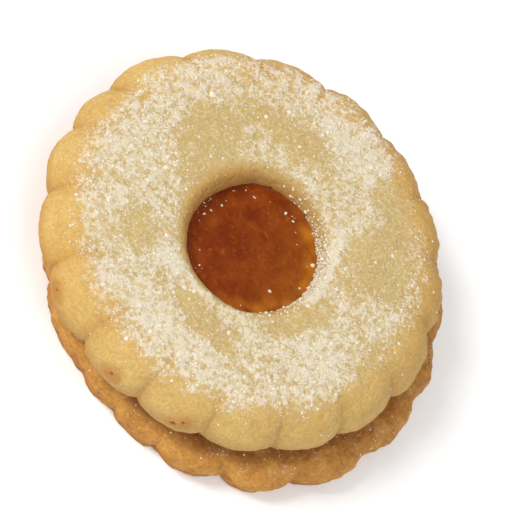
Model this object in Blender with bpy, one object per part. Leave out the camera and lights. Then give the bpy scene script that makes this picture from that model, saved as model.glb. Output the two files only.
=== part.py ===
"""Linzer cookie: two scalloped shortbread biscuits with jam between them and in a round window.

The cookie lies flat. +Z is up, the origin is under the middle of its bounding box,
and -Y is the side that is looked at. Sizes are in metres, angles in degrees.
"""

import math

import bmesh
import bpy

MM = 0.001

# Heights of the stack, from the table up.
BOTTOM_THICKNESS = 6.2 * MM
JAM_LAYER = 1.4 * MM
TOP_THICKNESS = 7.2 * MM
CONTACT_GAP = 0.3 * MM

# Where each layer lies: the lower biscuit has slipped against the upper one.
TOP_CENTRE = (0.0, 0.0)
BOTTOM_CENTRE = (2.3 * MM, 2.0 * MM)
JAM_CENTRE = (1.0 * MM, 0.8 * MM)
WINDOW_CENTRE = (0.9 * MM, -0.5 * MM)

# Upper biscuit: outline over the lobes, depth of the notches, out-of-round stretch.
TOP_RADIUS = 30.25 * MM
TOP_NOTCH = 1.3 * MM
TOP_OVAL = 0.1 * MM
OVAL_DIRECTION = 132.0
TOP_NOTCH_ANGLES = (20, 41, 61, 83, 105, 127, 149, 174, 191, 212, 234, 256, 277, 297, 317, 337, 357)
TOP_SHOULDER = 4.8 * MM
TOP_BELLY_HEIGHT = 2.2 * MM
TOP_UNDERCUT = 0.9 * MM
TOP_CROWN = 0.25 * MM

# Lower biscuit: a little wider, flatter and with shallower shoulders.
BOTTOM_RADIUS = 31.6 * MM
BOTTOM_NOTCH = 1.35 * MM
BOTTOM_OVAL = 1.3 * MM
BOTTOM_NOTCH_ANGLES = (4, 24, 43, 62, 82, 103, 124, 145, 167, 188, 209, 230, 257, 270, 284, 303, 322, 343)
BOTTOM_SHOULDER = 2.2 * MM
BOTTOM_BELLY_HEIGHT = 2.4 * MM
BOTTOM_UNDERCUT = 0.8 * MM

# Window through the upper biscuit, wider at its baked-soft rim than at the jam.
WINDOW_RIM_RADIUS = 12.0 * MM
WINDOW_RADIUS = 10.1 * MM
WINDOW_RIM_DEPTH = 3.0 * MM

# Jam: a thin layer that reaches nearly to the edge, and a plug that fills the window.
JAM_RADIUS = 27.8 * MM
JAM_WAVE = 0.5 * MM
JAM_WAVES = 7
JAM_SURFACE_DEPTH = 3.1 * MM
JAM_DOME = 0.25 * MM
JAM_EDGE_SEGMENTS = 72

# Fineness of the mesh.
SEGMENTS_PER_LOBE = 8
SHOULDER_STEPS = 5
BELLY_STEPS = 2
RIM_STEPS = 4
LOBE_SHARPNESS = 0.8
WIDEST_LOBE = 1.3

CRUST_COLOUR = (0.68, 0.45, 0.17, 1.0)
DARK_CRUST_COLOUR = (0.45, 0.20, 0.05, 1.0)
JAM_COLOUR = (0.27, 0.05, 0.01, 1.0)


def clear_scene():
    """Remove every object, so that the file can be run again."""
    for obj in list(bpy.data.objects):
        bpy.data.objects.remove(obj, do_unlink=True)


def make_material(name, colour, roughness):
    """Return a plain Principled material."""
    material = bpy.data.materials.new(name)
    material.use_nodes = True
    shader = material.node_tree.nodes["Principled BSDF"]
    shader.inputs["Base Color"].default_value = colour
    shader.inputs["Roughness"].default_value = roughness
    shader.inputs["Metallic"].default_value = 0.0
    return material


def scalloped_outline(notch_angles):
    """Return (angle, dip) pairs round a scalloped edge; dip is 1 in a notch and 0 on a lobe's crest.

    A narrow lobe bulges less than a wide one, as if every lobe had the same curvature.
    """
    mean_width = 360.0 / len(notch_angles)
    outline = []
    for start, end in zip(notch_angles, notch_angles[1:] + notch_angles[:1]):
        width = (end - start) % 360.0
        height = min(width / mean_width, WIDEST_LOBE)
        for step in range(SEGMENTS_PER_LOBE):
            share = step / SEGMENTS_PER_LOBE
            bulge = (1.0 - (2.0 * share - 1.0) ** 2) ** LOBE_SHARPNESS
            outline.append((math.radians(start + share * width), 1.0 - height * bulge))
    return outline


def scalloped_ring(outline, centre, radius, notch, oval, height):
    """Return the points of one level of a scalloped, slightly oval edge."""
    ring = []
    for angle, dip in outline:
        stretch = oval * math.cos(2.0 * (angle - math.radians(OVAL_DIRECTION)))
        reach = radius - notch * dip + stretch
        x = centre[0] + reach * math.cos(angle)
        y = centre[1] + reach * math.sin(angle)
        ring.append((x, y, height))
    return ring


def round_ring(angles, centre, radius, height):
    """Return the points of one level of a round edge."""
    return [(centre[0] + radius * math.cos(a), centre[1] + radius * math.sin(a), height) for a in angles]


def loft(name, rings, material, closed_loop):
    """Skin the rings in order. A closed loop joins the last to the first, else both ends are capped."""
    shape = bmesh.new()
    loops = [[shape.verts.new(point) for point in ring] for ring in rings]
    pairs = list(zip(loops, loops[1:]))
    if closed_loop:
        pairs.append((loops[-1], loops[0]))
    count = len(loops[0])
    for lower, upper in pairs:
        for i in range(count):
            j = (i + 1) % count
            shape.faces.new((lower[i], lower[j], upper[j], upper[i]))
    if not closed_loop:
        shape.faces.new(list(reversed(loops[0])))
        shape.faces.new(loops[-1])
    bmesh.ops.recalc_face_normals(shape, faces=shape.faces[:])
    mesh = bpy.data.meshes.new(name)
    shape.to_mesh(mesh)
    shape.free()
    mesh.shade_smooth()
    mesh.set_sharp_from_angle(angle=math.radians(40.0))
    mesh.materials.append(material)
    obj = bpy.data.objects.new(name, mesh)
    bpy.context.scene.collection.objects.link(obj)
    return obj


def edge_profile(thickness, undercut, belly_height, shoulder):
    """Return (height, inset, scallop share) from the underside, round the belly, to the upper face."""
    profile = []
    for step in range(BELLY_STEPS):
        turn = math.radians(90.0 * step / BELLY_STEPS)
        profile.append((belly_height * math.sin(turn), undercut * (1.0 - math.sin(turn)), 1.0))
    for step in range(SHOULDER_STEPS + 1):
        turn = math.radians(90.0 * step / SHOULDER_STEPS)
        height = belly_height + (thickness - belly_height) * math.sin(turn)
        profile.append((height, shoulder * (1.0 - math.cos(turn)), math.cos(turn) ** 0.5))
    return profile


def edge_rings(outline, centre, base, radius, notch, oval, profile):
    """Return the rings of a biscuit's outer edge, whose notches fade towards the upper face."""
    rings = []
    for height, inset, share in profile:
        mean_dip = notch * (1.0 - share) * 0.5
        reach = radius - inset - mean_dip
        rings.append(scalloped_ring(outline, centre, reach, notch * share, oval, base + height))
    return rings


def build_bottom_biscuit():
    """Make the lower biscuit, a plain scalloped disc."""
    outline = scalloped_outline(BOTTOM_NOTCH_ANGLES)
    profile = edge_profile(BOTTOM_THICKNESS, BOTTOM_UNDERCUT, BOTTOM_BELLY_HEIGHT, BOTTOM_SHOULDER)
    rings = edge_rings(outline, BOTTOM_CENTRE, 0.0, BOTTOM_RADIUS, BOTTOM_NOTCH, BOTTOM_OVAL, profile)
    material = make_material("dark_crust", DARK_CRUST_COLOUR, 0.8)
    return loft("bottom_biscuit", rings, material, closed_loop=False)


def build_top_biscuit():
    """Make the upper biscuit: a scalloped ring round its window, closed on itself."""
    base = BOTTOM_THICKNESS + JAM_LAYER
    top = base + TOP_THICKNESS
    outline = scalloped_outline(TOP_NOTCH_ANGLES)
    profile = edge_profile(TOP_THICKNESS, TOP_UNDERCUT, TOP_BELLY_HEIGHT, TOP_SHOULDER)
    rings = edge_rings(outline, TOP_CENTRE, base, TOP_RADIUS, TOP_NOTCH, TOP_OVAL, profile)
    angles = [angle for angle, _ in outline]
    crown_centre = tuple(0.5 * c for c in WINDOW_CENTRE)
    crown_radius = 0.5 * (TOP_RADIUS - TOP_SHOULDER + WINDOW_RIM_RADIUS)
    rings.append(round_ring(angles, crown_centre, crown_radius, top + TOP_CROWN))
    rim_width = WINDOW_RIM_RADIUS - WINDOW_RADIUS
    for step in range(RIM_STEPS + 1):
        turn = math.radians(90.0 * step / RIM_STEPS)
        radius = WINDOW_RIM_RADIUS - rim_width * math.sin(turn)
        height = top - WINDOW_RIM_DEPTH * (1.0 - math.cos(turn))
        rings.append(round_ring(angles, WINDOW_CENTRE, radius, height))
    rings.append(round_ring(angles, WINDOW_CENTRE, WINDOW_RADIUS, base))
    material = make_material("pale_crust", CRUST_COLOUR, 0.75)
    return loft("top_biscuit", rings, material, closed_loop=True)


def build_jam_filling():
    """Make the jam in one piece: the layer between the biscuits and the plug in the window."""
    low = BOTTOM_THICKNESS + CONTACT_GAP
    high = BOTTOM_THICKNESS + JAM_LAYER - CONTACT_GAP
    middle = 0.5 * (low + high)
    surface = BOTTOM_THICKNESS + JAM_LAYER + TOP_THICKNESS - JAM_SURFACE_DEPTH
    plug_radius = WINDOW_RADIUS - CONTACT_GAP
    angles = [2.0 * math.pi * i / JAM_EDGE_SEGMENTS for i in range(JAM_EDGE_SEGMENTS)]

    def wavy_ring(radius, height):
        """Return one level of the layer's uneven edge."""
        ring = []
        for angle in angles:
            reach = radius + JAM_WAVE * math.sin(JAM_WAVES * angle) * math.cos(2.0 * angle)
            x = JAM_CENTRE[0] + reach * math.cos(angle)
            y = JAM_CENTRE[1] + reach * math.sin(angle)
            ring.append((x, y, height))
        return ring

    rings = [
        wavy_ring(JAM_RADIUS - JAM_WAVE, low),
        wavy_ring(JAM_RADIUS, middle),
        wavy_ring(JAM_RADIUS - JAM_WAVE, high),
        round_ring(angles, WINDOW_CENTRE, plug_radius, high),
        round_ring(angles, WINDOW_CENTRE, plug_radius, surface - JAM_DOME),
        round_ring(angles, WINDOW_CENTRE, 0.6 * plug_radius, surface - 0.2 * JAM_DOME),
        round_ring(angles, WINDOW_CENTRE, 0.2 * plug_radius, surface),
    ]
    material = make_material("jam", JAM_COLOUR, 0.15)
    return loft("jam_filling", rings, material, closed_loop=False)


def centre_on_origin(objects):
    """Move the objects so that the middle of their bounding box is over the origin."""
    points = [vertex.co for obj in objects for vertex in obj.data.vertices]
    for axis in (0, 1):
        values = [point[axis] for point in points]
        shift = 0.5 * (min(values) + max(values))
        for obj in objects:
            obj.location[axis] = -shift


clear_scene()
centre_on_origin([build_bottom_biscuit(), build_jam_filling(), build_top_biscuit()])
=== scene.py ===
"""Linzer cookie: the finished looks of a jam-filled, scalloped biscuit dusted with icing sugar.

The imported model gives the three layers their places. Every layer is made again here as a fine
mesh with a baked, porous crust or a glossy jam surface, and the icing sugar and the crumbs are
scattered over them as real grains.
"""

import math

import bmesh
import bpy
import numpy as np
from bpy.props import FloatProperty, FloatVectorProperty, IntProperty, PointerProperty
from bpy.types import Operator, Panel, PropertyGroup
from mathutils import Matrix, Vector, noise
from mathutils.bvhtree import BVHTree


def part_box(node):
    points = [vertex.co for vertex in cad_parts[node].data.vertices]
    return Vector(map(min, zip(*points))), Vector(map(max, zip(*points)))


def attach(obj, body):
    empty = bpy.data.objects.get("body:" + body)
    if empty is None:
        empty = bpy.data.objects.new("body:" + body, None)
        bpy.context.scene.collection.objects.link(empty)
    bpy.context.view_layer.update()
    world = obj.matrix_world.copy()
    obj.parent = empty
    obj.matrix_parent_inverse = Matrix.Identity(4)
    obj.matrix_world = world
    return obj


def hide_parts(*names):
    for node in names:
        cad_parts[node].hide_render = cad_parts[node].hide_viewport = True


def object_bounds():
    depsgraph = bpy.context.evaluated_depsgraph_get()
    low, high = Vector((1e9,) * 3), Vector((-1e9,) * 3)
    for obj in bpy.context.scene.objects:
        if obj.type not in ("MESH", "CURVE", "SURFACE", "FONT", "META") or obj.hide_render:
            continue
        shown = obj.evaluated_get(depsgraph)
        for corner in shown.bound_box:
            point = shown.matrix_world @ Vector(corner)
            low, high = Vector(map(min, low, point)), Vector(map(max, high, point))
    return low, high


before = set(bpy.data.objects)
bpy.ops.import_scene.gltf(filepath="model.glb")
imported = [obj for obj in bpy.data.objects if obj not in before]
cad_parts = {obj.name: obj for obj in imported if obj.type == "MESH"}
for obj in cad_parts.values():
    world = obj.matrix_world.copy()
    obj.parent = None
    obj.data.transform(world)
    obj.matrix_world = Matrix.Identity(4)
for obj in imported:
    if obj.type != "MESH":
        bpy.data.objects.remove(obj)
CAD_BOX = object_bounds()

bl_info = {
    "name": "Linzer Cookie",
    "version": (1, 0, 0),
    "blender": (4, 5, 0),
    "location": "View3D > Sidebar > Cookie",
    "description": "Builds a scalloped jam biscuit with its crust, jam and icing sugar",
    "category": "Add Mesh",
}

MM = 0.001
BODY = "root"
BOTTOM, JAM, TOP = "bottom_biscuit", "jam_filling", "top_biscuit"


def node_box(node):
    """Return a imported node's lowest and highest corners as arrays."""
    low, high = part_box(node)
    return np.array(low), np.array(high)


def node_middle(node):
    """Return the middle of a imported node's lobes in plan."""
    low, high = node_box(node)
    return 0.5 * (low + high)[:2] + np.array(MIDDLE_SHIFTS[node]) * MM


def node_width(node):
    """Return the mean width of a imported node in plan."""
    low, high = node_box(node)
    return float(np.mean((high - low)[:2]))


BOTTOM_LOW, BOTTOM_HIGH = node_box(BOTTOM)
JAM_HIGH = node_box(JAM)[1]
TOP_LOW, TOP_HIGH = node_box(TOP)

# Notches between the lobes, in degrees round each biscuit.
TOP_NOTCH_ANGLES = (20, 41, 61, 83, 105, 127, 149, 174, 191, 212, 234, 256, 277, 297, 317, 337, 357)
BOTTOM_NOTCH_ANGLES = (4, 24, 43, 62, 82, 103, 124, 145, 167, 188, 209, 230, 257, 270, 284, 303, 322, 343)
OVAL_DIRECTION = math.radians(132.0)
LOBE_SHARPNESS = 0.8
WIDEST_LOBE = 1.3

# Fineness of the meshes: points for each lobe, then rings up the wall and over the shoulder,
TOP_LOBE_POINTS, TOP_EDGE_RINGS = 36, (14, 44)
BOTTOM_LOBE_POINTS, BOTTOM_EDGE_RINGS = 34, (18, 28)
# and rings of the upper face, of the window's rim and wall, and of the jam.
FACE_RINGS, RIM_RINGS, WALL_RINGS = 62, 26, 6
JAM_POINTS, JAM_EDGE_RINGS, JAM_FACE_RINGS = 480, 14, 74

# Each biscuit's wall: how far it tucks in at the underside, and the height where it is widest.
TOP_UNDERCUT, TOP_BELLY = 0.9 * MM, 2.2 * MM
BOTTOM_UNDERCUT, BOTTOM_BELLY = 0.8 * MM, 2.4 * MM

# The lobes' own middle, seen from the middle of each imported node's box, in millimetres.
MIDDLE_SHIFTS = {BOTTOM: (0.0, -0.24), JAM: (0.0, -0.50), TOP: (-0.09, -0.04)}
# The window's middle, seen from the middle of the upper biscuit.
WINDOW_OFFSET = np.array((0.9, -0.5)) * MM

# Painted light and shade follow some of these sides: a highlight on the crests towards the key light, shade
# on the far edge, and shade on the window's wall away from its lit side.
# Sides that differ from the rest, in degrees from +X: of the upper biscuit and its window,
RAGGED_EDGE, TOAST_AND_SHADE_EDGE, PALE_WALL, LIT_CRESTS, LIT_WALL = 55.0, 65.0, -40.0, 165.0, 10.0
# of the lower biscuit,
SHALLOW_NOTCHES, DARK_RIM, STICKY_SEAM = 225.0, 5.0, -52.0
# and of the sugar.
WIDE_DUSTING, NARROW_DUSTING = 95.0, 30.0
SUGARED_JAM, SUGARED_WALL, SUGARED_RIM = 130.0, 22.0, -60.0

# Swells in the crusts, against the crust relief setting, and in the jam, in millimetres:
# height, width in millimetres, seed.
UPPER_RELIEF = ((0.9, 7.5, 31), (0.5, 2.8, 32), (0.42, 1.1, 33), (0.26, 0.5, 34))
LOWER_RELIEF = ((1.2, 6.0, 41), (1.3, 2.2, 42), (0.8, 0.9, 43), (0.3, 0.45, 44))
JAM_RELIEF = ((0.16, 3.4, 53), (0.08, 1.3, 54))

# How much of the upper face the sugar covers: usually, and at the least and the most.
USUAL_COVER, LEAST_COVER, MOST_COVER = 0.43, 0.14, 0.74
# Where the dusting ends, in millimetres from the upper biscuit's middle.
DUSTING_REACH = 27.2
# Thinly sugared places (negative strength) and heavily dusted ones: place from the upper
# biscuit's middle and half sizes in millimetres, turn in degrees, strength.
SUGAR_PATCHES = (
    ((-13.5, 6.0), (5.5, 8.5), 20.0, -0.40),
    ((-6.0, 15.5), (10.0, 3.2), 8.0, -0.30),
    ((15.8, 10.0), (5.5, 8.5), -15.0, -0.37),
    ((12.6, -5.8), (2.4, 6.2), -28.0, -0.52),
    ((3.0, -16.0), (7.0, 2.4), 0.0, -0.30),
    ((-11.5, -12.5), (3.4, 3.4), 0.0, -0.30),
    ((13.0, 20.5), (7.5, 5.0), -30.0, -0.36),
    ((25.5, 0.0), (2.6, 13.0), 0.0, -0.22),
    ((16.5, -9.0), (5.5, 7.0), -35.0, 0.16),
    ((3.0, -21.0), (16.0, 3.0), 0.0, 0.18),
    ((2.5, 21.5), (7.0, 3.5), 0.0, 0.18),
    ((-21.5, -1.0), (3.4, 12.0), 0.0, 0.08),
    ((10.4, 3.0), (1.7, 7.5), 8.0, 0.58),
    ((-3.0, -12.4), (7.0, 1.3), 10.0, 0.30),
    ((18.5, 15.5), (3.0, 5.0), 40.0, 0.22),
    ((-21.0, 13.0), (4.5, 6.5), 30.0, 0.12),
)
# Chance of a stray grain where there is no powder, for a kind that is spread quite evenly.
STRAY_SUGAR = 0.05
# Dark pinholes in the upper wall: angle in degrees, then height above the biscuit's underside
# and size in millimetres.
PINHOLES = ((241.5, 3.4, 0.30), (267.5, 3.6, 0.42), (288.0, 2.9, 0.55), (290.5, 3.9, 0.36))


def length_property(label, text, value):
    """Return a length setting."""
    return FloatProperty(name=label, description=text, default=value, unit="LENGTH", precision=5)


def count_property(label, text, value):
    """Return a setting for a number of things."""
    return IntProperty(name=label, description=text, default=value, min=1)


def colour_property(label, text, value):
    """Return a colour setting."""
    return FloatVectorProperty(
        name=label, description=text, default=value, size=3, min=0.0, max=1.0, subtype="COLOR")


class CookieShape(PropertyGroup):
    """Sizes of the layers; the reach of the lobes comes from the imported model."""

    top_radius: length_property(
        "Upper radius", "Reach of the upper biscuit's lobes", 0.5 * node_width(TOP) + 0.15 * MM)
    top_notch: length_property("Upper notch", "Depth of the notches between the upper lobes", 1.3 * MM)
    top_shoulder: length_property(
        "Upper shoulder", "Width of the rounding from the wall to the upper face", 4.8 * MM)
    top_crown: length_property(
        "Upper crown", "How far the upper face swells between edge and window", 0.25 * MM)
    bottom_radius: length_property(
        "Lower radius", "Reach of the lower biscuit's lobes", 0.5 * node_width(BOTTOM))
    bottom_notch: length_property("Lower notch", "Depth of the notches between the lower lobes", 1.35 * MM)
    bottom_shoulder: length_property("Lower shoulder", "Width of the rounding on the lower biscuit", 2.2 * MM)
    top_oval: length_property("Upper oval", "How far the upper outline is out of round", 0.1 * MM)
    bottom_oval: length_property("Lower oval", "How far the lower outline is out of round", 1.3 * MM)
    rim_radius: length_property(
        "Window rim", "Radius of the window where its rim starts to round", 12.0 * MM)
    window_radius: length_property("Window", "Radius of the window at the jam", 9.9 * MM)
    rim_depth: length_property("Rim depth", "Depth over which the window's rim rounds", 3.0 * MM)
    roughness_relief: length_property("Crust relief", "Height of the bumps in the baked crust", 0.16 * MM)


class CookieSugar(PropertyGroup):
    """Sizes and amounts of the scattered sugar and crumbs."""

    clumps: count_property("Clumps", "Number of pressed clumps of sugar", 2300)
    clump_size: length_property("Clump size", "Usual width of a clump", 0.33 * MM)
    grains: count_property("Grains", "Number of single grains of sugar", 8200)
    grain_size: length_property("Grain size", "Usual width of a grain", 0.21 * MM)
    dust: count_property("Dust", "Number of the finest grains", 22000)
    dust_size: length_property("Dust size", "Usual width of the finest grains", 0.14 * MM)
    jam_specks: count_property("Jam specks", "Number of grains on the jam", 38)
    wall_grains: count_property("Wall grains", "Number of grains on the window's wall", 750)
    rim_grains: count_property("Rim grains", "Number of grains on the lower biscuit's rim", 300)
    powder_depth: length_property("Powder depth", "Depth of the packed powder under the grains", 0.13 * MM)
    crumbs: count_property("Crumbs", "Number of crumbs on the lower biscuit's rim", 60)
    crumb_size: length_property("Crumb size", "Usual width of a crumb", 0.6 * MM)


class CookieColours(PropertyGroup):
    """Colours of the crusts, the jam, the sugar and the stage."""

    golden: colour_property("Golden crust", "Upper biscuit's wall", (0.580, 0.350, 0.087))
    # A painted highlight, laid on the crests of the upper lobes.
    crest_highlight: colour_property("Crest highlight", "Painted highlight on the upper lobes' crests", (0.665, 0.447, 0.143))
    pale: colour_property("Pale crust", "Upper biscuit's face", (0.540, 0.394, 0.154))
    # Browned crust, also laid on as painted shade in the notches, on the far edge and in the window.
    toast_and_shade: colour_property("Toasted crust and painted shade", "Upper biscuit's browned edges and painted shade", (0.450, 0.200, 0.042))
    honey: colour_property("Honey crust", "Lower biscuit's palest parts", (0.610, 0.305, 0.062))
    caramel: colour_property("Caramel crust", "Lower biscuit", (0.480, 0.203, 0.035))
    brown: colour_property("Brown crust", "Lower biscuit's darkest parts", (0.270, 0.098, 0.018))
    pinhole: colour_property("Pinhole", "Scorched pinholes", (0.260, 0.086, 0.016))
    sugar: colour_property("Icing sugar", "Grains and clumps", (0.840, 0.740, 0.568))
    powder: colour_property("Packed powder", "Fine sugar between the grains", (0.775, 0.665, 0.485))
    jam_dark: colour_property("Deep jam", "Jam where it is thick", (0.162, 0.023, 0.002))
    jam_light: colour_property("Bright jam", "Shreds of fruit in the jam", (0.350, 0.078, 0.006))
    jam_amber: colour_property("Amber jam", "Jam where light gets through", (0.540, 0.190, 0.014))
    jam_stain: colour_property("Jam stain", "Crust soaked with jam at the seam", (0.215, 0.060, 0.012))
    floor: colour_property("Floor", "The surface underneath", (0.930, 0.930, 0.925))


# Mesh making


def scalloped_outline(notch_angles, steps):
    """Return the angles round a scalloped edge and how deep in a notch each lies, 0 on a crest."""
    mean_width = 360.0 / len(notch_angles)
    angles, dips = [], []
    for start, end in zip(notch_angles, notch_angles[1:] + notch_angles[:1]):
        width = (end - start) % 360.0
        height = min(width / mean_width, WIDEST_LOBE)
        share = np.arange(steps) / steps
        bulge = (1.0 - (2.0 * share - 1.0) ** 2) ** LOBE_SHARPNESS
        angles.append(np.radians(start + share * width))
        dips.append(1.0 - height * bulge)
    return np.concatenate(angles), np.concatenate(dips)


def ring(angles, centre, reach, height):
    """Return the points of one level, where reach and height may vary round it."""
    points = np.empty((len(angles), 3))
    points[:, 0] = centre[0] + reach * np.cos(angles)
    points[:, 1] = centre[1] + reach * np.sin(angles)
    points[:, 2] = height
    return points


def edge_levels(thickness, undercut, belly, shoulder, belly_steps, shoulder_steps):
    """Yield (height, inset, notch share) from the underside up over the shoulder."""
    lip, lip_height, lip_spread = 0.16 * MM, 0.35 * MM, 0.3 * MM
    for turn in np.radians(np.linspace(0.0, 90.0, belly_steps, endpoint=False)):
        height = belly * math.sin(turn)
        lip_here = lip * math.exp(-(((height - lip_height) / lip_spread) ** 2))
        yield height, undercut * (1.0 - math.sin(turn)) - lip_here, 1.0
    for turn in np.radians(np.linspace(0.0, 90.0, shoulder_steps)):
        height = belly + (thickness - belly) * math.sin(turn)
        yield height, shoulder * (1.0 - math.cos(turn)), max(math.cos(turn), 0.0) ** 0.8


def unit_circle(angles):
    """Return points on a circle of radius 1, on which noise closes up round an edge."""
    return np.column_stack([np.cos(angles), np.sin(angles), np.zeros(len(angles))])


def oval_stretch(angles, oval):
    """Return how far an edge lies beyond a true circle at each angle."""
    return oval * np.cos(2.0 * (angles - OVAL_DIRECTION))


def edge_rings(outline, centre, base, radius, notch, oval, levels, ragged):
    """Return the rings of a scalloped edge, whose notches fade towards the upper face."""
    angles, dips = outline
    around = unit_circle(angles)
    uneven = ragged * (ripple(around, 0.11, 7) + 0.6 * ripple(around, 0.045, 8))
    stretch = oval_stretch(angles, oval)
    rings = []
    for height, inset, share in levels:
        reach = radius - inset - 0.5 * notch * (1.0 - share) + share * (uneven - notch * dips)
        rings.append(ring(angles, centre, reach + stretch, base + height))
    return rings


def add_piece(name, points, faces):
    """Make an object with smooth shading from lists of points and faces."""
    mesh = bpy.data.meshes.new(name)
    mesh.from_pydata(points, [], faces)
    mesh.shade_smooth()
    piece = bpy.data.objects.new(name, mesh)
    bpy.context.scene.collection.objects.link(piece)
    return piece


def skin(name, rings, closed_loop):
    """Make an object from rings in order; open ends are closed with a fan round their middle."""
    around = len(rings[0])
    points = np.concatenate(rings)
    index = np.arange(len(points)).reshape(len(rings), around)
    lower, upper = (index, np.roll(index, -1, axis=0)) if closed_loop else (index[:-1], index[1:])
    quads = np.stack([lower, np.roll(lower, -1, axis=1), np.roll(upper, -1, axis=1), upper], axis=-1)
    faces = quads.reshape(-1, 4).tolist()
    if not closed_loop:
        for loop, turned in ((index[0], True), (index[-1], False)):
            middle = len(points)
            points = np.vstack([points, points[loop].mean(axis=0)])
            after = np.roll(loop, -1)
            pair = (after, loop) if turned else (loop, after)
            faces += [(int(a), int(b), middle) for a, b in zip(*pair)]
    return add_piece(name, points.tolist(), faces)


def mesh_surface(piece):
    """Return a piece's points and the normals at them."""
    points = np.empty(3 * len(piece.data.vertices))
    normals = points.copy()
    piece.data.vertices.foreach_get("co", points)
    piece.data.vertex_normals.foreach_get("vector", normals)
    return points.reshape(-1, 3), normals.reshape(-1, 3)


def set_points(piece, points):
    """Move a piece's points."""
    piece.data.vertices.foreach_set("co", points.ravel())
    piece.data.update()


def set_field(piece, name, values):
    """Store one number for each point, for the piece's material."""
    field = piece.data.attributes.new(name, "FLOAT", "POINT")
    field.data.foreach_set("value", np.asarray(values, dtype=np.float32))


def ripple(points, size, seed):
    """Return smooth noise from about -1 to 1, in swells of the given size."""
    shift = np.array((13.7, 7.3, 3.1)) * seed
    return np.array([noise.noise(p) for p in (points / size + shift).tolist()])


def swells(points, relief):
    """Add up ripples, each given as its height, its width in millimetres and its seed."""
    return sum(height * ripple(points, width * MM, seed) for height, width, seed in relief)


def pits(points, spacing, reach, share, seed):
    """Return 1 in the middle of scattered pores and 0 outside them."""
    depth = np.zeros(len(points))
    shift = np.array((5.1, 17.9, 11.3)) * seed
    for i, p in enumerate((points / spacing + shift).tolist()):
        distances, centres = noise.voronoi(p)
        if distances[0] < reach and noise.cell(centres[0] * 7.31) < share:
            depth[i] = (1.0 - distances[0] / reach) ** 0.5
    return depth


def smooth_step(low, high, values):
    """Return 0 below low, 1 above high and a smooth rise between them."""
    share = np.clip((values - low) / (high - low), 0.0, 1.0)
    return share * share * (3.0 - 2.0 * share)


def patch(plan, place, half_sizes, turn, strength):
    """Return a soft oval patch's strength at points in plan, given in millimetres."""
    offset = plan - np.array(place)
    angle = math.radians(turn)
    along = offset[:, 0] * math.cos(angle) + offset[:, 1] * math.sin(angle)
    across = -offset[:, 0] * math.sin(angle) + offset[:, 1] * math.cos(angle)
    distance = np.hypot(along / half_sizes[0], across / half_sizes[1])
    return strength * (1.0 - smooth_step(0.45, 1.25, distance))


def plan_angles(points, centre):
    """Return the direction of each point from a centre, in plan."""
    return np.arctan2(points[:, 1] - centre[1], points[:, 0] - centre[0])


def plan_distances(points, centre):
    """Return how far each point lies from a centre, in plan."""
    return np.hypot(*(points[:, :2] - centre).T)


def places_round(centre, angles, reach):
    """Return the places in plan at the given angles and distances from a centre."""
    return centre + np.column_stack([np.cos(angles) * reach, np.sin(angles) * reach])


def flattened(plan):
    """Return places in plan as points at height 0."""
    return np.column_stack([plan[:, :2], np.zeros(len(plan))])


def towards(angles, side):
    """Return 1 for angles that point to a side given in degrees, and -1 for those that point away."""
    return np.cos(angles - math.radians(side))


def window_middle():
    """Return the middle of the window in plan."""
    return node_middle(TOP) + WINDOW_OFFSET


def lit_share(points):
    """Return how far round the window each point lies towards its lit wall, from 0 to 1."""
    return (0.5 + 0.5 * towards(plan_angles(points, window_middle()), LIT_WALL)) ** 2


def sugar_cover(points):
    """Return how thickly the sugar lies on the upper biscuit at each point, from 0 to 1."""
    plan = (points[:, :2] - node_middle(TOP)) / MM
    flat = flattened(plan)
    wander = 1.5 * np.column_stack([ripple(flat, 4.0, 3), ripple(flat, 4.0, 4)])
    cover = USUAL_COVER + 0.13 * ripple(flat, 5.5, 1) + 0.12 * ripple(flat, 2.2, 2)
    for oval in SUGAR_PATCHES:
        cover += patch(plan + wander, *oval)
    middle = np.zeros(2)
    angles = plan_angles(plan, middle)
    further = 1.6 * (0.5 + 0.5 * towards(angles, WIDE_DUSTING)) ** 2
    nearer = 2.0 * np.clip(towards(angles, NARROW_DUSTING), 0.0, 1.0) ** 2
    edge = DUSTING_REACH + further - nearer + 0.9 * ripple(flat, 3.0, 5) + 0.6 * ripple(flat, 1.1, 6)
    fade = 1.0 - smooth_step(edge - 2.6, edge + 1.0, plan_distances(plan, middle))
    rim = 12.0 - 2.2 * lit_share(points)
    rim_fade = smooth_step(rim - 0.6, rim + 0.9, plan_distances(plan, WINDOW_OFFSET / MM))
    return np.clip(cover, LEAST_COVER, MOST_COVER) * fade * rim_fade


def own_piece(piece, material, node=None):
    """Give a piece its material and its place on the body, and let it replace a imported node."""
    piece.data.materials.append(material)
    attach(piece, BODY)
    if node:
        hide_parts(node)


# Materials


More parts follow.
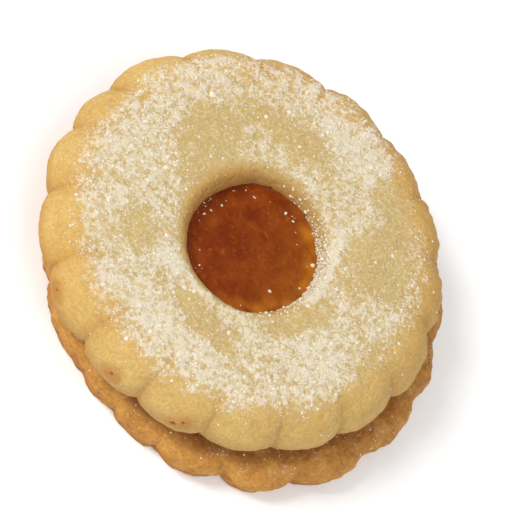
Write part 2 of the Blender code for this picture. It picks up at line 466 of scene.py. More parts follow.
class Weave:
    """A material's node tree, with short calls for the nodes that the finishes share."""

    def __init__(self, name):
        self.material = bpy.data.materials.new(name)
        self.material.use_nodes = True
        self.tree = self.material.node_tree
        self.shader = self.tree.nodes["Principled BSDF"]
        self.place = self.node("ShaderNodeTexCoord", "Object", {})

    def node(self, kind, output, inputs, **settings):
        """Add a node, set its own properties, feed its inputs and return one of its outputs."""
        made = self.tree.nodes.new(kind)
        for name, value in settings.items():
            setattr(made, name, value)
        for key, value in inputs.items():
            self.feed(made.inputs[key], value)
        return made.outputs[output]

    def feed(self, socket, value):
        """Link a socket to another node's output, or set it to a plain value."""
        if isinstance(value, bpy.types.NodeSocket):
            self.tree.links.new(value, socket)
        elif hasattr(value, "__len__") and len(value) == 3 and len(socket.default_value) == 4:
            socket.default_value = (*value, 1.0)
        else:
            socket.default_value = value

    def field(self, name):
        """Read one of the mesh's own fields."""
        return self.node("ShaderNodeAttribute", "Fac", {}, attribute_name=name)

    def noise(self, size, detail=3.0, roughness=0.55):
        """Return noise whose blobs are about the given size across."""
        inputs = {"Vector": self.place, "Scale": 1.0 / size, "Detail": detail, "Roughness": roughness}
        return self.node("ShaderNodeTexNoise", "Fac", inputs)

    def cells(self, size):
        """Return the distance from the middles of scattered cells of the given size."""
        return self.node("ShaderNodeTexVoronoi", "Distance", {"Vector": self.place, "Scale": 1.0 / size})

    def ramp(self, value, low, high, to_low=0.0, to_high=1.0):
        """Map a value smoothly from one range to another."""
        inputs = {"Value": value, "From Min": low, "From Max": high, "To Min": to_low, "To Max": to_high}
        return self.node("ShaderNodeMapRange", "Result", inputs, interpolation_type="SMOOTHSTEP")

    def maths(self, operation, first, second):
        """Combine two numbers."""
        return self.node("ShaderNodeMath", "Value", {0: first, 1: second}, operation=operation)

    def blend(self, factor, first, second, kind="MIX"):
        """Mix two colours."""
        inputs = {"Factor": factor, 6: first, 7: second}
        return self.node("ShaderNodeMix", 2, inputs, data_type="RGBA", blend_type=kind)

    def bump(self, height, distance, strength=1.0, under=None):
        """Raise the surface by a height, on top of another bump if given."""
        inputs = {"Height": height, "Distance": distance, "Strength": strength}
        if under:
            inputs["Normal"] = under
        return self.node("ShaderNodeBump", "Normal", inputs)

    def finish(self, **sockets):
        """Set the shader's sockets by name, with underscores for spaces."""
        for name, value in sockets.items():
            self.feed(self.shader.inputs[name.replace("_", " ")], value)
        return self.material


def sugar_material(colours):
    """Icing sugar: a dry, bright powder that lets a little light through."""
    weave = Weave("icing_sugar")
    tone = weave.ramp(weave.noise(0.9 * MM), 0.3, 0.7)
    shaded = tuple(0.88 * c for c in colours.sugar)
    colour = weave.blend(tone, shaded, colours.sugar)
    normal = weave.bump(weave.noise(0.09 * MM, 2.0), 0.03 * MM, 0.7)
    return weave.finish(
        Base_Color=colour, Roughness=weave.ramp(tone, 0.0, 1.0, 0.8, 0.95), Normal=normal,
        Subsurface_Weight=0.25, Subsurface_Radius=(1.0, 0.85, 0.6), Subsurface_Scale=0.4 * MM,
        Specular_IOR_Level=0.3)


def powder_over(weave, colour, powder, thickness, grain_size):
    """Lay a speckled veil of powder over a colour, and return the new colour and the veil."""
    speckle = weave.noise(grain_size, 3.0, 0.65)
    cover = weave.maths("ADD", speckle, weave.maths("MULTIPLY", weave.field("sugar"), 0.48))
    veil = weave.ramp(cover, 0.52, 0.93, 0.0, thickness)
    veil = weave.maths("MULTIPLY", veil, weave.ramp(weave.field("sugar"), 0.0, 0.15, 0.10, 1.0))
    return weave.blend(veil, colour, powder), veil


def upper_crust_material(colours):
    """The upper biscuit: pale face, golden wall, toasted edges, painted highlight on the crests, painted
    shade in the notches and the window, and a dusting of powder.
    """
    weave = Weave("pale_crust")
    broad = weave.ramp(weave.noise(6.0 * MM, 3.0), 0.35, 0.65)
    crumb = weave.noise(0.42 * MM, 4.0, 0.62)
    colour = weave.blend(weave.field("wall"), colours.pale, colours.golden)
    # Painted highlight on the lobes' crests.
    colour = weave.blend(weave.field("crest"), colour, colours.crest_highlight)
    colour = weave.blend(weave.maths("MULTIPLY", broad, 0.16), colour, colours.toast_and_shade)
    uneven = weave.ramp(weave.noise(2.4 * MM), 0.25, 0.75, 0.55, 1.0)
    # Browning, and painted shade in the notches, on the far edge and on the window's wall away from the
    # light.
    colour = weave.blend(weave.maths("MULTIPLY", weave.field("bake"), uneven), colour, colours.toast_and_shade)
    speckle = weave.ramp(crumb, 0.30, 0.70, 0.86, 1.09)
    colour = weave.blend(1.0, colour, speckle, "MULTIPLY")
    mottle = weave.ramp(weave.noise(1.2 * MM, 4.0, 0.6), 0.32, 0.68, 0.93, 1.04)
    colour = weave.blend(1.0, colour, mottle, "MULTIPLY")
    pores = weave.ramp(weave.cells(0.80 * MM), 0.08, 0.22, 0.42, 0.0)
    colour = weave.blend(pores, colour, colours.toast_and_shade)
    colour = weave.blend(weave.field("pinhole"), colour, colours.pinhole)
    colour, veil = powder_over(weave, colour, colours.powder, 0.90, 0.50 * MM)
    grain = weave.bump(crumb, 0.11 * MM, 0.6)
    fine = weave.bump(weave.noise(0.14 * MM, 3.0), 0.04 * MM, 0.6, grain)
    normal = weave.bump(veil, 0.12 * MM, 0.7, fine)
    rough = weave.ramp(crumb, 0.3, 0.7, 0.62, 0.85)
    return weave.finish(
        Base_Color=colour, Roughness=rough, Normal=normal, Subsurface_Weight=0.18,
        Subsurface_Radius=(1.0, 0.6, 0.25), Subsurface_Scale=1.0 * MM, Specular_IOR_Level=0.28)


def lower_crust_material(colours):
    """The lower biscuit: caramel brown, rough and porous, with stray powder on its rim."""
    weave = Weave("dark_crust")
    mottle = weave.ramp(weave.noise(2.6 * MM, 5.0, 0.6), 0.33, 0.67)
    crumb = weave.noise(0.5 * MM, 4.0, 0.68)
    colour = weave.blend(mottle, colours.caramel, colours.honey)
    uneven = weave.ramp(weave.noise(1.6 * MM), 0.3, 0.7, 0.3, 1.0)
    colour = weave.blend(weave.maths("MULTIPLY", weave.field("bake"), uneven), colour, colours.brown)
    speckle = weave.ramp(crumb, 0.34, 0.66, 0.82, 1.12)
    colour = weave.blend(1.0, colour, speckle, "MULTIPLY")
    pores = weave.ramp(weave.cells(0.9 * MM), 0.10, 0.26, 0.5, 0.0)
    colour = weave.blend(pores, colour, colours.brown)
    colour = weave.blend(weave.field("stain"), colour, colours.jam_stain)
    colour, veil = powder_over(weave, colour, colours.powder, 0.60, 0.40 * MM)
    grain = weave.bump(crumb, 0.14 * MM, 0.7)
    normal = weave.bump(weave.noise(0.16 * MM, 3.0), 0.05 * MM, 0.6, grain)
    rough = weave.ramp(crumb, 0.3, 0.7, 0.6, 0.85)
    return weave.finish(
        Base_Color=colour, Roughness=rough, Normal=normal, Subsurface_Weight=0.12,
        Subsurface_Radius=(1.0, 0.5, 0.2), Subsurface_Scale=0.8 * MM, Specular_IOR_Level=0.28)


def jam_material(colours):
    """Set jam: glossy and deep amber, with painted light that makes it paler towards its right side and along
    its right rim, and with shreds of fruit in it.
    """
    weave = Weave("jam")
    pulp = weave.ramp(weave.noise(2.6 * MM, 5.0, 0.6), 0.34, 0.72, 0.0, 0.45)
    shreds = weave.ramp(weave.noise(0.70 * MM, 3.0), 0.54, 0.74, 0.0, 0.60)
    colour = weave.blend(pulp, colours.jam_dark, colours.jam_light)
    colour = weave.blend(shreds, colour, colours.jam_light)
    colour = weave.blend(weave.field("glow"), colour, colours.jam_amber)
    swell = weave.bump(weave.noise(1.2 * MM, 3.0), 0.16 * MM, 0.6)
    normal = weave.bump(weave.noise(0.45 * MM, 3.0), 0.16 * MM, 0.8, swell)
    rough = weave.ramp(weave.noise(0.8 * MM, 2.0), 0.3, 0.7, 0.08, 0.22)
    return weave.finish(
        Base_Color=colour, Roughness=rough, Normal=normal, Subsurface_Weight=0.2,
        Subsurface_Radius=(1.0, 0.25, 0.04), Subsurface_Scale=0.9 * MM, Specular_IOR_Level=0.10)


def floor_material(colours):
    """A plain, pale, matt tabletop with the faintest unevenness."""
    weave = Weave("pale_floor")
    shade = weave.ramp(weave.noise(60.0 * MM, 2.0), 0.2, 0.8, 0.0, 1.0)
    colour = weave.blend(shade, tuple(0.985 * c for c in colours.floor), colours.floor)
    return weave.finish(
        Base_Color=colour, Roughness=0.9, Specular_IOR_Level=0.1,
        Emission_Color=(1.0, 1.0, 1.0), Emission_Strength=0.06)


# Scattering


def icing_density(points, cover):
    """Return how much powder lies at each point: the cover, broken up into clumps and gaps."""
    flat = flattened(points)
    broken = 0.36 * ripple(flat, 1.25 * MM, 11) + 0.34 * ripple(flat, 0.6 * MM, 12)
    return np.clip(cover + broken * smooth_step(0.0, 0.4, cover), 0.0, 1.0)


def lump(detail):
    """Return the points and faces of a small lump, one unit across: detail 0 has the fewest faces."""
    if detail == 0:
        points = 0.5 * np.array([(1, 0, 0), (0, 1, 0), (-1, 0, 0), (0, -1, 0), (0, 0, 1), (0, 0, -1)])
        around = [(i, (i + 1) % 4) for i in range(4)]
        faces = [(a, b, 4) for a, b in around] + [(b, a, 5) for a, b in around]
        return points, np.array(faces)
    mesh = bmesh.new()
    bmesh.ops.create_icosphere(mesh, subdivisions=detail, radius=0.5)
    points = np.array([v.co[:] for v in mesh.verts])
    faces = np.array([[v.index for v in f.verts] for f in mesh.faces])
    mesh.free()
    return points, faces


def random_turns(count, rng):
    """Return rotation matrices that point every way."""
    w, x, y, z = rng.normal(size=(count, 4)).T
    length = np.sqrt(w * w + x * x + y * y + z * z)
    w, x, y, z = w / length, x / length, y / length, z / length
    return np.stack([
        np.stack([1 - 2 * (y * y + z * z), 2 * (x * y - w * z), 2 * (x * z + w * y)], axis=-1),
        np.stack([2 * (x * y + w * z), 1 - 2 * (x * x + z * z), 2 * (y * z - w * x)], axis=-1),
        np.stack([2 * (x * z - w * y), 2 * (y * z + w * x), 1 - 2 * (x * x + y * y)], axis=-1),
    ], axis=1)


def scatter_lumps(name, places, sizes, detail, flatness, seed):
    """Join one uneven lump at each place into a single mesh piece."""
    rng = np.random.default_rng(seed)
    points, faces = lump(detail)
    count = len(places)
    dents = 1.0 + 0.28 * rng.uniform(-1.0, 1.0, (count, len(points), 1))
    stretch = rng.uniform(0.7, 1.3, (count, 1, 3))
    lumps = np.einsum("nij,nvj->nvi", random_turns(count, rng), points[None] * dents * stretch)
    lumps[:, :, 2] *= flatness
    lumps = lumps * sizes[:, None, None] + places[:, None, :]
    index = faces[None] + (np.arange(count) * len(points))[:, None, None]
    return add_piece(name, lumps.reshape(-1, 3).tolist(), index.reshape(-1, 3).tolist())


def ray_tree(piece):
    """Return a piece's faces in a form that rays can be cast at."""
    return BVHTree.FromObject(piece, bpy.context.evaluated_depsgraph_get())


def dropped_places(piece, plan, sink):
    """Return where points in plan land on a piece from above, sunk in a little, and which landed."""
    tree = ray_tree(piece)
    above = CAD_BOX[1][2] + 10.0 * MM
    places, landed = [], []
    for (x, y), depth in zip(plan.tolist(), sink.tolist()):
        spot, normal, _, _ = tree.ray_cast(Vector((x, y, above)), Vector((0.0, 0.0, -1.0)))
        landed.append(spot is not None)
        if spot is not None:
            places.append(tuple(spot - normal * depth))
    return np.array(places), np.array(landed)


def dropped_lumps(name, piece, plan, sizes, sink, detail, flatness, seed):
    """Drop a lump on a piece at each place in plan, sunk in by a share of its size, and join them."""
    places, landed = dropped_places(piece, plan, sink * sizes)
    return scatter_lumps(name, places, sizes[landed], detail, flatness, seed)


def sugar_plan(count, rng, evenness):
    """Choose places in plan for grains, where the powder lies on the upper biscuit."""
    reach = 0.5 * node_width(TOP)
    plan = np.empty((0, 2))
    while len(plan) < count:
        tries = node_middle(TOP) + rng.uniform(-reach, reach, (5 * count, 2))
        cover = sugar_cover(tries)
        chance = evenness * cover + (1.0 - evenness) * icing_density(tries, cover) ** 2
        chance += STRAY_SUGAR * evenness
        plan = np.vstack([plan, tries[rng.uniform(size=len(tries)) < chance]])
    return plan[:count]


def rim_plan(count, rng, nearest, furthest):
    """Choose directions and places in plan round the lower biscuit, some millimetres inside its edge."""
    angles = rng.uniform(0.0, 2.0 * math.pi, count)
    reach = 0.5 * node_width(BOTTOM) - rng.uniform(nearest, furthest, count) * MM
    return angles, places_round(node_middle(BOTTOM), angles, reach)


# The pieces


def upper_rings(shape, outline):
    """Return the upper biscuit's rings, from its underside over the face and down the window."""
    angles = outline[0]
    centre, window = node_middle(TOP), window_middle()
    base, top = TOP_LOW[2], TOP_HIGH[2] - shape.top_crown
    ragged = 0.10 * MM + 0.45 * MM * smooth_step(0.2, 1.0, towards(angles, RAGGED_EDGE))
    levels = [(0.0, 2.0 * TOP_UNDERCUT, 1.0)]
    levels += edge_levels(top - base, TOP_UNDERCUT, TOP_BELLY, shape.top_shoulder, *TOP_EDGE_RINGS)
    rings = edge_rings(
        outline, centre, base, shape.top_radius, shape.top_notch, shape.top_oval, levels, ragged)
    wobble = 0.30 * MM * ripple(unit_circle(angles), 0.55, 21) - 0.65 * MM * np.cos(2.0 * angles)
    rim = shape.rim_radius + wobble
    wall = shape.window_radius + 0.8 * wobble
    face_edge = shape.top_radius - shape.top_shoulder - 0.5 * shape.top_notch
    face_edge = face_edge + oval_stretch(angles, shape.top_oval)
    for share in np.linspace(0.0, 1.0, FACE_RINGS)[1:-1]:
        reach = (1.0 - share) * face_edge + share * rim
        middle = centre + share * WINDOW_OFFSET
        rings.append(ring(angles, middle, reach, top + shape.top_crown * math.sin(math.pi * share)))
    for turn in np.radians(np.linspace(0.0, 90.0, RIM_RINGS)):
        reach = rim - (rim - wall) * math.sin(turn)
        rings.append(ring(angles, window, reach, top - shape.rim_depth * (1.0 - math.cos(turn))))
    for height in np.linspace(top - shape.rim_depth, base, WALL_RINGS)[1:]:
        rings.append(ring(angles, window, wall, height))
    return rings


def pinhole_fields(points):
    """Return 1 in the pinholes of the upper wall, and 1 in the browned rings round them.

    A pinhole sits at the nearest point of the wall, and whatever is not wall counts as far away.
    """
    centre = node_middle(TOP)
    wall_reach = 28.0
    angles = plan_angles(points, centre) % (2.0 * math.pi)
    not_wall = 1e3 * (plan_distances(points, centre) < 20.0 * MM)
    hole = np.zeros(len(points))
    halo = np.zeros(len(points))
    for angle, height, size in PINHOLES:
        across = np.abs(angles - math.radians(angle)) * wall_reach
        upwards = np.abs(points[:, 2] - TOP_LOW[2] - height * MM) / MM
        nearest = points[np.argmin(across + upwards + not_wall)]
        distance = np.linalg.norm(points - nearest, axis=1)
        hole = np.maximum(hole, 1.0 - smooth_step(0.35 * size * MM, 0.9 * size * MM, distance))
        halo = np.maximum(halo, 1.0 - smooth_step(0.3 * MM, 2.4 * MM, distance))
    return hole, halo


def upper_tones(piece, points, dips, halo):
    """Store where the upper biscuit's crust is golden and browned, and where a highlight and shade are
    painted on it.
    """
    angles = plan_angles(points, node_middle(TOP))
    height = points[:, 2] - TOP_LOW[2]
    low = 1.0 - smooth_step(0.0, 4.2 * MM, height)
    shoulder = smooth_step(2.6 * MM, 4.4 * MM, height)
    outside = smooth_step(22.0 * MM, 27.0 * MM, plan_distances(points, node_middle(TOP)))
    in_window = 1.0 - smooth_step(9.8 * MM, 12.4 * MM, plan_distances(points, window_middle()))
    pale_side = smooth_step(-0.1, 0.9, towards(angles, PALE_WALL))
    set_field(piece, "wall", outside * (1.0 - 0.65 * pale_side) + 0.3 * in_window)

    # Painted highlight: the crests of the lobes are paler, most of all on the side towards the key light.
    lit_crests = smooth_step(0.1, 1.0, towards(angles, LIT_CRESTS))
    set_field(piece, "crest", (0.55 + 0.40 * lit_crests) * outside * shoulder * (1.0 - dips))

    patchy = 0.5 + 0.5 * ripple(points, 9.0 * MM, 36)
    # The far edge is browned and also carries painted shade, on the side away from the key light.
    toast_and_shade = smooth_step(-0.2, 1.0, towards(angles, TOAST_AND_SHADE_EDGE))
    # Darker towards the bottom of the wall and below the shoulder, and painted shade in the notches between
    # the lobes.
    edge_bake_and_shade = 0.12 + 0.85 * low * patchy + 0.45 * dips ** 3 + 0.20 * (1.0 - shoulder) + 0.30 * toast_and_shade
    # Painted shade on the window's wall away from its lit side, and browned rings round the pinholes.
    bake = 0.95 * in_window * (1.0 - lit_share(points)) + 1.1 * halo
    bake = bake + outside * edge_bake_and_shade * (1.0 - 0.30 * pale_side)
    set_field(piece, "bake", np.clip(bake, 0.0, 1.0))


def upper_biscuit(shape, sugar):
    """Make the upper biscuit: lobes, soft shoulder, swelling face and rounded window."""
    outline = scalloped_outline(TOP_NOTCH_ANGLES, TOP_LOBE_POINTS)
    rings = upper_rings(shape, outline)
    piece = skin("upper_biscuit", rings, closed_loop=True)
    points, normals = mesh_surface(piece)
    density = icing_density(points, sugar_cover(points)) * smooth_step(0.0, 0.25, normals[:, 2])
    hole, halo = pinhole_fields(points)
    rise = shape.roughness_relief * swells(points, UPPER_RELIEF)
    rise -= 0.20 * MM * pits(points, 1.5 * MM, 0.20, 0.3, 35) * (1.0 - density)
    rise -= 0.14 * MM * pits(points, 0.9 * MM, 0.26, 0.22, 37) * (1.0 - density)
    rise += sugar.powder_depth * density
    rise -= 0.25 * MM * hole
    set_points(piece, points + normals * rise[:, None])
    set_field(piece, "sugar", density)
    set_field(piece, "pinhole", hole)
    upper_tones(piece, points, np.tile(np.clip(outline[1], 0.0, 1.0), len(rings)), halo)
    return piece


def lower_rings(shape):
    """Return the lower biscuit's rings, from the middle of its underside to the middle of its top."""
    angles, dips = scalloped_outline(BOTTOM_NOTCH_ANGLES, BOTTOM_LOBE_POINTS)
    shallow = smooth_step(0.5, 1.0, towards(angles, SHALLOW_NOTCHES))
    outline = angles, dips * (1.0 - 0.5 * shallow) + 0.15 * shallow
    base = BOTTOM_LOW[2]
    thickness = BOTTOM_HIGH[2] - base
    levels = [(0.0, inset * MM, 1.0) for inset in (24.0, 12.0, 4.0, 1.6)]
    levels += edge_levels(
        thickness, BOTTOM_UNDERCUT, BOTTOM_BELLY, shape.bottom_shoulder, *BOTTOM_EDGE_RINGS)
    last = levels[-1][1]
    levels += [(thickness, last + extra * MM, 0.0) for extra in np.linspace(0.0, 7.5, 30)[1:]]
    levels += [(thickness, last + extra * MM, 0.0) for extra in (12.0, 22.0)]
    return edge_rings(
        outline, node_middle(BOTTOM), base, shape.bottom_radius, shape.bottom_notch,
        shape.bottom_oval, levels, ragged=0.40 * MM)


def lower_tones(piece, points):
    """Store where the lower biscuit is browned, soaked with jam and dusted."""
    height = (points[:, 2] - BOTTOM_LOW[2]) / (BOTTOM_HIGH[2] - BOTTOM_LOW[2])
    angles = plan_angles(points, node_middle(BOTTOM))
    upper = smooth_step(0.75, 0.98, height)
    low = 1.0 - smooth_step(0.0, 0.5, height)
    patchy = 0.5 + 0.5 * ripple(points, 5.0 * MM, 46)
    dark_side = smooth_step(0.5, 1.0, towards(angles, DARK_RIM))
    bake = 0.25 * patchy + 0.45 * low + 0.35 * upper * patchy + 0.40 * dark_side
    set_field(piece, "bake", np.clip(bake, 0.0, 1.0))

    past_edge = plan_distances(points, node_middle(TOP)) - 0.5 * node_width(TOP)
    seam = 1.0 - smooth_step(-0.6 * MM, 1.1 * MM, past_edge + 0.8 * MM * ripple(points, 1.6 * MM, 48))
    sticky_side = smooth_step(0.3, 0.9, towards(angles, STICKY_SEAM))
    set_field(piece, "stain", upper * seam * (0.14 + 0.38 * sticky_side))
    set_field(piece, "sugar", 0.18 * upper * smooth_step(-0.1, 0.5, ripple(points, 2.4 * MM, 47)))


def lower_biscuit(shape):
    """Make the lower biscuit, whose wall and upper rim show round the upper one."""
    piece = skin("lower_biscuit", lower_rings(shape), closed_loop=False)
    points, normals = mesh_surface(piece)
    rise = shape.roughness_relief * swells(points, LOWER_RELIEF)
    rise -= 0.30 * MM * pits(points, 1.4 * MM, 0.26, 0.45, 45)
    moved = points + normals * rise[:, None]
    moved[:, 2] = np.maximum(moved[:, 2], BOTTOM_LOW[2])
    set_points(piece, moved)
    lower_tones(piece, points)
    return piece


def jam_rings(shape):
    """Return the jam's rings: the layer's bulging edge, then the plug up to its surface."""
    angles = np.radians(np.linspace(0.0, 360.0, JAM_POINTS, endpoint=False))
    centre, window = node_middle(JAM), window_middle()
    sticking = 0.1 * MM
    low, high = BOTTOM_HIGH[2] - sticking, TOP_LOW[2] + sticking
    middle, half_height = 0.5 * (low + high), 0.5 * (high - low)
    around = unit_circle(angles)
    swell = 0.75 * MM * ripple(around, 0.22, 51) + 0.35 * MM * ripple(around, 0.07, 52)
    edge = 0.5 * node_width(JAM) + swell
    rings = [ring(angles, centre, edge - 6.0 * MM, low)]
    for turn in np.radians(np.linspace(-80.0, 80.0, JAM_EDGE_RINGS)):
        reach = edge - 0.8 * MM * (1.0 - math.cos(turn))
        rings.append(ring(angles, centre, reach, middle + half_height * math.sin(turn)))
    surface = JAM_HIGH[2]
    plug = shape.window_radius + 0.45 * MM
    rings.append(ring(angles, window, plug, high))
    rings.append(ring(angles, window, plug, surface - 1.0 * MM))
    for share in np.linspace(1.0, 0.03, JAM_FACE_RINGS):
        reach = share * plug
        meniscus = 0.40 * MM * math.exp(-(plug - reach) / (0.55 * MM))
        rings.append(ring(angles, window, reach, surface - 0.25 * MM * share ** 2 + meniscus))
    return rings


def jam_body(shape):
    """Make the jam: a thin layer bulging unevenly at the seam, and a glossy plug in the window."""
    piece = skin("jam", jam_rings(shape), closed_loop=False)
    points, normals = mesh_surface(piece)
    rise = MM * swells(points, JAM_RELIEF)
    rise += 0.14 * MM * smooth_step(0.05, 0.5, ripple(points, 1.9 * MM, 55))
    set_points(piece, points + normals * rise[:, None])

    plan = (points[:, :2] - window_middle()) / MM
    reach = np.hypot(plan[:, 0], plan[:, 1])
    # Painted light: the jam is paler towards its right side and along its right rim, as if light came through
    # it.
    lit = smooth_step(-2.0, 11.0, 0.95 * plan[:, 0] + 0.2 * plan[:, 1] + 1.4 * ripple(points, 2.5 * MM, 56))
    rim = smooth_step(7.2, 9.4, reach) * smooth_step(-2.0, 6.0, plan[:, 0])
    rim *= np.clip(0.9 + 1.3 * ripple(points, 1.5 * MM, 57), 0.1, 1.8)
    in_window = 1.0 - smooth_step(10.0, 11.0, reach)
    set_field(piece, "glow", in_window * (0.20 * lit + 0.40 * rim))
    return piece


def jam_specks(jam, count):
    """Scatter sugar on the jam, most of it against the wall of the window."""
    rng = np.random.default_rng(81)
    angles = math.radians(SUGARED_JAM) + rng.normal(0.0, 1.5, count)
    reach = 9.3 * MM * rng.uniform(0.0, 1.0, count) ** 0.09
    sizes = 0.21 * MM * rng.lognormal(0.0, 0.55, count)
    plan = places_round(window_middle(), angles, reach)
    return dropped_lumps("jam_specks", jam, plan, sizes, 0.1, 1, 0.8, 82)


def wall_sugar(upper, count):
    """Press sugar onto the wall of the window where it faces the light."""
    rng = np.random.default_rng(86)
    tree = ray_tree(upper)
    angles = math.radians(SUGARED_WALL) + math.radians(30.0) * rng.normal(size=count)
    heights = rng.uniform(JAM_HIGH[2] - 0.2 * MM, TOP_HIGH[2] - 0.4 * MM, count)
    x, y = window_middle()
    places = []
    for angle, height in zip(angles.tolist(), heights.tolist()):
        outwards = Vector((math.cos(angle), math.sin(angle), 0.0))
        spot = tree.ray_cast(Vector((x, y, height)), outwards)[0]
        places.append(tuple(spot))
    sizes = 0.26 * MM * rng.lognormal(0.0, 0.35, count)
    return scatter_lumps("wall_sugar", np.array(places), sizes, 1, 0.9, 87)


def rim_sugar(lower, count):
    """Scatter the sugar that fell past the upper biscuit onto the lower one's rim."""
    rng = np.random.default_rng(83)
    angles, plan = rim_plan(4 * count, rng, -0.6, 4.5)
    drift = ripple(flattened(plan), 2.2 * MM, 84) + 0.7 * towards(angles, SUGARED_RIM)
    plan = plan[rng.uniform(size=len(plan)) < smooth_step(-0.2, 0.6, drift)][:count]
    sizes = 0.16 * MM * rng.lognormal(0.0, 0.35, len(plan))
    return dropped_lumps("rim_sugar", lower, plan, sizes, 0.1, 1, 0.8, 85)


def rim_crumbs(lower, count, size):
    """Scatter biscuit crumbs on the lower biscuit's rim."""
    rng = np.random.default_rng(71)
    plan = rim_plan(count, rng, 2.2, 4.2)[1]
    sizes = size * rng.lognormal(-0.3, 0.4, count)
    return dropped_lumps("crumbs", lower, plan, sizes, 0.0, 2, 0.8, 72)


# Operators


# Lamps: name, azimuth and elevation in degrees, distance and width in metres, power in watts.
LAMPS = (("key", -66.0, 48.0, 0.8, 0.34, 3.9), ("fill", 40.0, 55.0, 1.0, 0.8, 3.4))
SURROUND_STRENGTH = 0.57
# The camera: elevation and roll in degrees, then distance and the width of the frame at the cookie.
CAMERA_ELEVATION, CAMERA_ROLL = 57.4, 43.5
CAMERA_DISTANCE, FRAME_WIDTH = 0.45, 72.0 * MM


class COOKIE_OT_upper_biscuit(Operator):
    """Make the pale, golden upper biscuit with its window"""

    bl_idname = "cookie.upper_biscuit"
    bl_label = "Upper Biscuit"

    def execute(self, context):
        settings = context.scene
        piece = upper_biscuit(settings.cookie_shape, settings.cookie_sugar)
        own_piece(piece, upper_crust_material(settings.cookie_colours), TOP)
        return {"FINISHED"}


class COOKIE_OT_lower_biscuit(Operator):
    """Make the browner lower biscuit"""

    bl_idname = "cookie.lower_biscuit"
    bl_label = "Lower Biscuit"

    def execute(self, context):
        settings = context.scene
        piece = lower_biscuit(settings.cookie_shape)
        own_piece(piece, lower_crust_material(settings.cookie_colours), BOTTOM)
        return {"FINISHED"}


class COOKIE_OT_jam(Operator):
    """Make the jam between the biscuits and in the window"""

    bl_idname = "cookie.jam"
    bl_label = "Jam"

    def execute(self, context):
        settings = context.scene
        piece = jam_body(settings.cookie_shape)
        own_piece(piece, jam_material(settings.cookie_colours), JAM)
        return {"FINISHED"}


class COOKIE_OT_icing_sugar(Operator):
    """Scatter icing sugar over the cookie in clumps, grains and dust"""

    bl_idname = "cookie.icing_sugar"
    bl_label = "Icing Sugar"

    def execute(self, context):
        sugar = context.scene.cookie_sugar
        biscuit = bpy.data.objects["upper_biscuit"]
        material = sugar_material(context.scene.cookie_colours)
        # Name, number, size, detail, flatness, and how evenly the kind is spread.
        kinds = (
            ("sugar_clumps", sugar.clumps, sugar.clump_size, 2, 0.50, 0.02),
            ("sugar_grains", sugar.grains, sugar.grain_size, 1, 0.70, 0.08),
            ("sugar_dust", sugar.dust, sugar.dust_size, 0, 0.85, 0.22),
        )
        pieces = [
            jam_specks(bpy.data.objects["jam"], sugar.jam_specks),
            wall_sugar(biscuit, sugar.wall_grains),
            rim_sugar(bpy.data.objects["lower_biscuit"], sugar.rim_grains),
        ]
        for seed, (name, count, size, detail, flatness, evenness) in enumerate(kinds, start=61):
            rng = np.random.default_rng(seed)
            sizes = size * rng.lognormal(0.0, 0.32, count)
            plan = sugar_plan(count, rng, evenness)
            pieces.append(dropped_lumps(name, biscuit, plan, sizes, 0.12, detail, flatness, seed))
        for piece in pieces:
            own_piece(piece, material)
        return {"FINISHED"}


class COOKIE_OT_crumbs(Operator):
    """Scatter a few biscuit crumbs along the lower biscuit's rim"""

    bl_idname = "cookie.crumbs"
    bl_label = "Crumbs"

    def execute(self, context):
        sugar = context.scene.cookie_sugar
        piece = rim_crumbs(bpy.data.objects["lower_biscuit"], sugar.crumbs, sugar.crumb_size)
        own_piece(piece, bpy.data.materials["dark_crust"])
        return {"FINISHED"}


class COOKIE_OT_stage(Operator):
    """Set the floor, the studio light and the camera"""

    bl_idname = "cookie.stage"
    bl_label = "Stage"

    def execute(self, context):
        low, high = (np.array(corner) for corner in CAD_BOX)
        target = Vector(0.5 * (low + high))
        make_floor(context, low[2])
        make_lights(context, target)
        make_camera(context, target)
        return {"FINISHED"}


def make_floor(context, height):
    """Lay a wide round floor under the cookie."""
    radius, sides = 1.5, 128
    turns = np.radians(np.linspace(0.0, 360.0, sides, endpoint=False))
    points = [(radius * math.cos(t), radius * math.sin(t), height) for t in turns]
    floor = add_piece("floor", points, [tuple(range(sides))])
    floor.data.materials.append(floor_material(context.scene.cookie_colours))


def aim(thing, target, roll=0.0):
    """Turn a light or camera to face a point, then roll it about its own axis."""
    turn = (target - thing.location).to_track_quat("-Z", "Y").to_matrix()
    thing.rotation_euler = (turn @ Matrix.Rotation(roll, 3, "Z")).to_euler()


def around_target(target, azimuth, elevation, distance):
    """Return a place seen from the target; azimuth 0 is in front, at -Y, and 90 to the right."""
    a, e = math.radians(azimuth), math.radians(elevation)
    return target + distance * Vector((math.sin(a) * math.cos(e), -math.cos(a) * math.cos(e), math.sin(e)))


def make_lights(context, target):
    """Light the cookie from a broad key at the left, a soft fill and a pale surround."""
    world = bpy.data.worlds.new("surround")
    context.scene.world = world
    world.use_nodes = True
    background = world.node_tree.nodes["Background"]
    background.inputs["Color"].default_value = (1.0, 1.0, 1.0, 1.0)
    background.inputs["Strength"].default_value = SURROUND_STRENGTH
    for name, azimuth, elevation, distance, size, power in LAMPS:
        lamp = bpy.data.lights.new(name, "AREA")
        lamp.shape = "DISK"
        lamp.size = size
        lamp.energy = power
        light = bpy.data.objects.new(name, lamp)
        context.scene.collection.objects.link(light)
        light.location = around_target(target, azimuth, elevation, distance)
        aim(light, target)


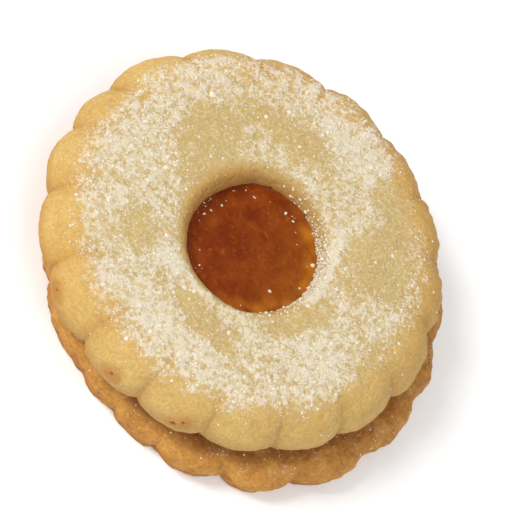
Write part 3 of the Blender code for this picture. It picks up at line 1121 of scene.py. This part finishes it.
def make_camera(context, target):
    """Look at the cookie from the front and above, turned so that its near side is at lower left."""
    data = bpy.data.cameras.new("camera")
    data.sensor_width = 36.0
    data.lens = data.sensor_width * CAMERA_DISTANCE / FRAME_WIDTH
    data.clip_start = 0.01
    camera = bpy.data.objects.new("camera", data)
    context.scene.collection.objects.link(camera)
    camera.location = around_target(target, 0.0, CAMERA_ELEVATION, CAMERA_DISTANCE)
    aim(camera, target, math.radians(CAMERA_ROLL))
    context.scene.camera = camera
    context.scene.view_settings.view_transform = "Standard"


class COOKIE_PT_panel(Panel):
    """List the steps that make the cookie"""

    bl_label = "Linzer Cookie"
    bl_space_type = "VIEW_3D"
    bl_region_type = "UI"
    bl_category = "Cookie"

    def draw(self, context):
        for group in (context.scene.cookie_shape, context.scene.cookie_sugar, context.scene.cookie_colours):
            box = self.layout.box()
            for name in group.__annotations__:
                box.prop(group, name)
        for operator in OPERATORS:
            self.layout.operator(operator.bl_idname)


GROUPS = (CookieShape, CookieSugar, CookieColours)
OPERATORS = (
    COOKIE_OT_stage, COOKIE_OT_lower_biscuit, COOKIE_OT_jam, COOKIE_OT_upper_biscuit,
    COOKIE_OT_icing_sugar, COOKIE_OT_crumbs,
)


def register():
    """Register the settings, the operators and the panel."""
    for kind in (*GROUPS, *OPERATORS, COOKIE_PT_panel):
        bpy.utils.register_class(kind)
    bpy.types.Scene.cookie_shape = PointerProperty(type=CookieShape)
    bpy.types.Scene.cookie_sugar = PointerProperty(type=CookieSugar)
    bpy.types.Scene.cookie_colours = PointerProperty(type=CookieColours)


def unregister():
    """Take everything back out."""
    for name in ("cookie_shape", "cookie_sugar", "cookie_colours"):
        delattr(bpy.types.Scene, name)
    for kind in reversed((*GROUPS, *OPERATORS, COOKIE_PT_panel)):
        bpy.utils.unregister_class(kind)


def main():
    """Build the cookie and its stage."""
    register()
    bpy.ops.cookie.stage()
    bpy.ops.cookie.lower_biscuit()
    bpy.ops.cookie.jam()
    bpy.ops.cookie.upper_biscuit()
    bpy.ops.cookie.icing_sugar()
    bpy.ops.cookie.crumbs()


if __name__ == "__main__":
    main()
